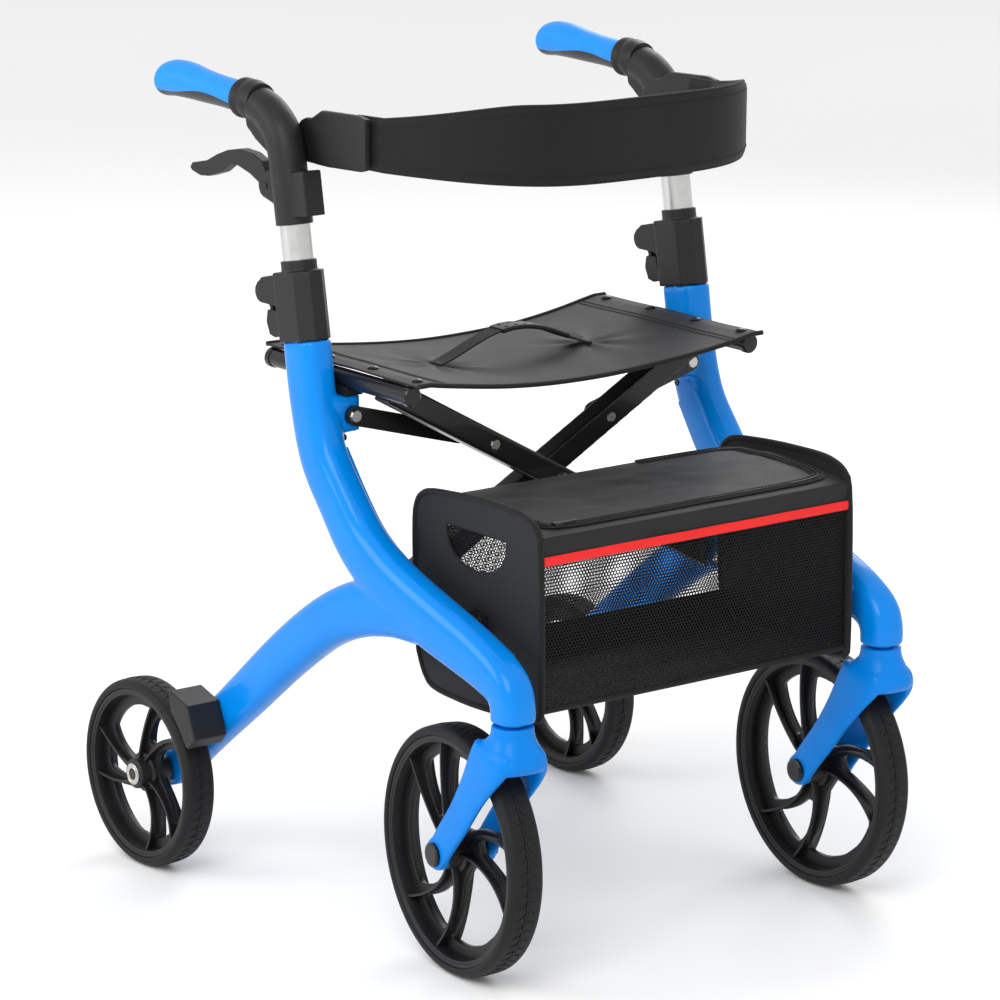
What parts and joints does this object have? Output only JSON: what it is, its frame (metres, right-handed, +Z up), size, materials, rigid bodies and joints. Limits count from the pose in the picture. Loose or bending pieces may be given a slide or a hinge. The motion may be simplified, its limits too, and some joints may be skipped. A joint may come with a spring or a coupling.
{
  "type": "rollator walker",
  "caption": "Folding rollator walker with curved side frames, large caster wheels, sling seat, cross brace, bag, backrest strap and height-adjustable handles with brakes.",
  "frame": {"origin": "middle of the footprint, on the floor", "axes": "+Z up, -Y forward in the walking direction, +X to the side of the frame named left"},
  "size_m": [0.6134, 0.7083, 0.8608],
  "materials": {
    "frame_blue": "gloss powder coat",
    "fork_blue": "satin",
    "black_plastic": "matte moulded",
    "wheel_plastic": "satin moulded",
    "tyre": "matte rubber",
    "tube_silver": "satin anodised",
    "steel": "satin",
    "black_metal": "semi-gloss black",
    "grip_blue": "soft-touch rubber",
    "fabric": "coated nylon",
    "webbing": "woven webbing"
  },
  "bodies": {
    "side_frame_right": {"side_frame_right": "frame_blue", "frame_cover_right": "frame_blue", "clamp_body_right": "black_plastic", "rail_saddle_right": "black_plastic", "brake_housing_right": "black_plastic", "rear_axle_right": "black_metal", "brace_pin_right": "steel", "link_bolt_right": "steel", "bag_panel_right": "fabric", "bag_body": "fabric"},
    "side_frame_left": {"side_frame_left": "frame_blue", "frame_cover_left": "frame_blue", "clamp_body_left": "black_plastic", "rail_saddle_left": "black_plastic", "brake_housing_left": "black_plastic", "rear_axle_left": "black_metal", "brace_pin_left": "steel", "link_bolt_left": "steel", "bag_panel_left": "fabric"},
    "brace_arm_a": {"brace_arm_a": "black_metal", "link_spacer_right": "steel"},
    "brace_arm_b": {"brace_arm_b": "black_metal", "centre_bolt": "steel", "link_spacer_left": "steel"},
    "rail_right": {"seat_rail_right": "black_metal", "seat_sling": "fabric", "pull_strap": "webbing"},
    "rail_left": {"seat_rail_left": "black_metal"},
    "side_link_right": {"side_link_right": "black_metal"},
    "side_link_left": {"side_link_left": "black_metal"},
    "bag_lid": {"bag_lid": "fabric"},
    "caster_right": {"front_fork_right": "fork_blue", "front_axle_right": "black_metal"},
    "caster_left": {"front_fork_left": "fork_blue", "front_axle_left": "black_metal"},
    "front_wheel_right": {"front_wheel_right": "wheel_plastic", "front_tyre_right": "tyre"},
    "front_wheel_left": {"front_wheel_left": "wheel_plastic", "front_tyre_left": "tyre"},
    "rear_wheel_right": {"rear_wheel_right": "wheel_plastic", "rear_tyre_right": "tyre", "rear_bearing_right": "steel"},
    "rear_wheel_left": {"rear_wheel_left": "wheel_plastic", "rear_tyre_left": "tyre", "rear_bearing_left": "steel"},
    "brake_shoe_right": {"brake_shoe_right": "tyre"},
    "brake_shoe_left": {"brake_shoe_left": "tyre"},
    "clamp_lever_right": {"clamp_lever_right": "black_plastic"},
    "clamp_lever_left": {"clamp_lever_left": "black_plastic"},
    "handle_right": {"handle_tube_right": "tube_silver", "handle_head_right": "black_plastic", "grip_right": "grip_blue"},
    "handle_left": {"handle_tube_left": "tube_silver", "handle_head_left": "black_plastic", "grip_left": "grip_blue"},
    "brake_lever_right": {"brake_lever_right": "black_plastic"},
    "brake_lever_left": {"brake_lever_left": "black_plastic"},
    "backrest_right": {"backrest_bracket_right": "black_plastic", "backrest_strap": "fabric"},
    "backrest_left": {"backrest_bracket_left": "black_plastic"}
  },
  "joints": [
    {"name": "fold", "type": "hinge", "parent": "side_frame_right", "child": "brace_arm_b", "pos_m": [-0.20503, -0.0484, 0.33282], "axis": [0, -1, 0], "range_deg": [0, 45], "deforming": ["seat_sling", "pull_strap", "backrest_strap", "bag_body", "bag_lid"]},
    {"name": "brace_centre", "type": "hinge", "parent": "brace_arm_b", "child": "brace_arm_a", "pos_m": [0, -0.0634, 0.446], "axis": [0, -1, 0], "range_deg": [-90, 0]},
    {"name": "left_frame_pivot", "type": "hinge", "parent": "brace_arm_a", "child": "side_frame_left", "pos_m": [0.20503, -0.0784, 0.33282], "axis": [0, -1, 0], "range_deg": [0, 45]},
    {"name": "rail_right_pivot", "type": "hinge", "parent": "brace_arm_a", "child": "rail_right", "pos_m": [-0.21887, -0.0784, 0.56682], "axis": [0, -1, 0], "range_deg": [0, 45]},
    {"name": "rail_left_pivot", "type": "hinge", "parent": "brace_arm_b", "child": "rail_left", "pos_m": [0.21887, -0.0484, 0.56682], "axis": [0, -1, 0], "range_deg": [-45, 0]},
    {"name": "side_link_right_pivot", "type": "hinge", "parent": "side_frame_right", "child": "side_link_right", "pos_m": [-0.22, -0.0304, 0.531], "axis": [0, -1, 0], "range_deg": [0, 82.4]},
    {"name": "side_link_left_pivot", "type": "hinge", "parent": "side_frame_left", "child": "side_link_left", "pos_m": [0.22, -0.0304, 0.531], "axis": [0, -1, 0], "range_deg": [-82.4, 0]},
    {"name": "caster_right_swivel", "type": "hinge", "parent": "side_frame_right", "child": "caster_right", "pos_m": [-0.2396, -0.3174, 0.2817], "axis": [0, 0, 1], "continuous": true},
    {"name": "caster_left_swivel", "type": "hinge", "parent": "side_frame_left", "child": "caster_left", "pos_m": [0.2396, -0.3174, 0.2817], "axis": [0, 0, 1], "continuous": true},
    {"name": "front_wheel_right_spin", "type": "hinge", "parent": "caster_right", "child": "front_wheel_right", "pos_m": [-0.22939, -0.22345, 0.127], "axis": [0.9942, -0.108, 0], "continuous": true},
    {"name": "front_wheel_left_spin", "type": "hinge", "parent": "caster_left", "child": "front_wheel_left", "pos_m": [0.24488, -0.22305, 0.127], "axis": [0.9984, -0.0558, 0], "continuous": true},
    {"name": "rear_wheel_right_spin", "type": "hinge", "parent": "side_frame_right", "child": "rear_wheel_right", "pos_m": [-0.2848, 0.2526, 0.1015], "axis": [1, 0, 0], "continuous": true},
    {"name": "rear_wheel_left_spin", "type": "hinge", "parent": "side_frame_left", "child": "rear_wheel_left", "pos_m": [0.2848, 0.2526, 0.1015], "axis": [1, 0, 0], "continuous": true},
    {"name": "handle_right_height", "type": "slide", "parent": "side_frame_right", "child": "handle_right", "axis": [0, 0.1736, 0.9848], "range_m": [-0.03, 0.07]},
    {"name": "handle_left_height", "type": "slide", "parent": "side_frame_left", "child": "handle_left", "axis": [0, 0.1736, 0.9848], "range_m": [-0.03, 0.07]},
    {"name": "brake_lever_right_squeeze", "type": "hinge", "parent": "handle_right", "child": "brake_lever_right", "pos_m": [-0.2475, 0.0666, 0.7545], "axis": [1, 0, 0], "range_deg": [0, 14], "stiffness_Nm_per_rad": 2},
    {"name": "brake_lever_left_squeeze", "type": "hinge", "parent": "handle_left", "child": "brake_lever_left", "pos_m": [0.2475, 0.0666, 0.7545], "axis": [1, 0, 0], "range_deg": [0, 14], "stiffness_Nm_per_rad": 2},
    {"name": "brake_shoe_right_swing", "type": "hinge", "parent": "side_frame_right", "child": "brake_shoe_right", "pos_m": [-0.2848, 0.1882, 0.1935], "axis": [1, 0, 0], "range_deg": [0, 2.2]},
    {"name": "brake_shoe_left_swing", "type": "hinge", "parent": "side_frame_left", "child": "brake_shoe_left", "pos_m": [0.2848, 0.1882, 0.1935], "axis": [1, 0, 0], "range_deg": [0, 2.2]},
    {"name": "clamp_lever_right_flip", "type": "hinge", "parent": "side_frame_right", "child": "clamp_lever_right", "pos_m": [-0.2475, 0.07624, 0.64487], "axis": [1, 0, 0], "range_deg": [0, 100]},
    {"name": "clamp_lever_left_flip", "type": "hinge", "parent": "side_frame_left", "child": "clamp_lever_left", "pos_m": [0.2475, 0.07624, 0.64487], "axis": [1, 0, 0], "range_deg": [0, 100]},
    {"name": "backrest_right_tilt", "type": "hinge", "parent": "handle_right", "child": "backrest_right", "pos_m": [-0.2244, 0.0346, 0.802], "axis": [-1, 0, 0], "range_deg": [0, 90]},
    {"name": "backrest_left_tilt", "type": "hinge", "parent": "handle_left", "child": "backrest_left", "pos_m": [0.2244, 0.0346, 0.802], "axis": [-1, 0, 0], "range_deg": [0, 90]},
    {"name": "bag_lid_open", "type": "hinge", "parent": "side_frame_right", "child": "bag_lid", "pos_m": [0, -0.1094, 0.456], "axis": [-1, 0, 0], "range_deg": [0, 45]}
  ],
  "couplings": [
    {"joint": "brace_centre", "follows": "fold", "ratio": -2},
    {"joint": "left_frame_pivot", "follows": "fold", "ratio": 1},
    {"joint": "rail_right_pivot", "follows": "fold", "ratio": 1},
    {"joint": "rail_left_pivot", "follows": "fold", "ratio": -1},
    {"joint": "side_link_right_pivot", "follows": "fold", "ratio": 1.831},
    {"joint": "side_link_left_pivot", "follows": "fold", "ratio": -1.831},
    {"joint": "handle_left_height", "follows": "handle_right_height", "ratio": 1},
    {"joint": "backrest_left_tilt", "follows": "backrest_right_tilt", "ratio": 1},
    {"joint": "brake_shoe_right_swing", "follows": "brake_lever_right_squeeze", "ratio": 0.157},
    {"joint": "brake_shoe_left_swing", "follows": "brake_lever_left_squeeze", "ratio": 0.157}
  ]
}
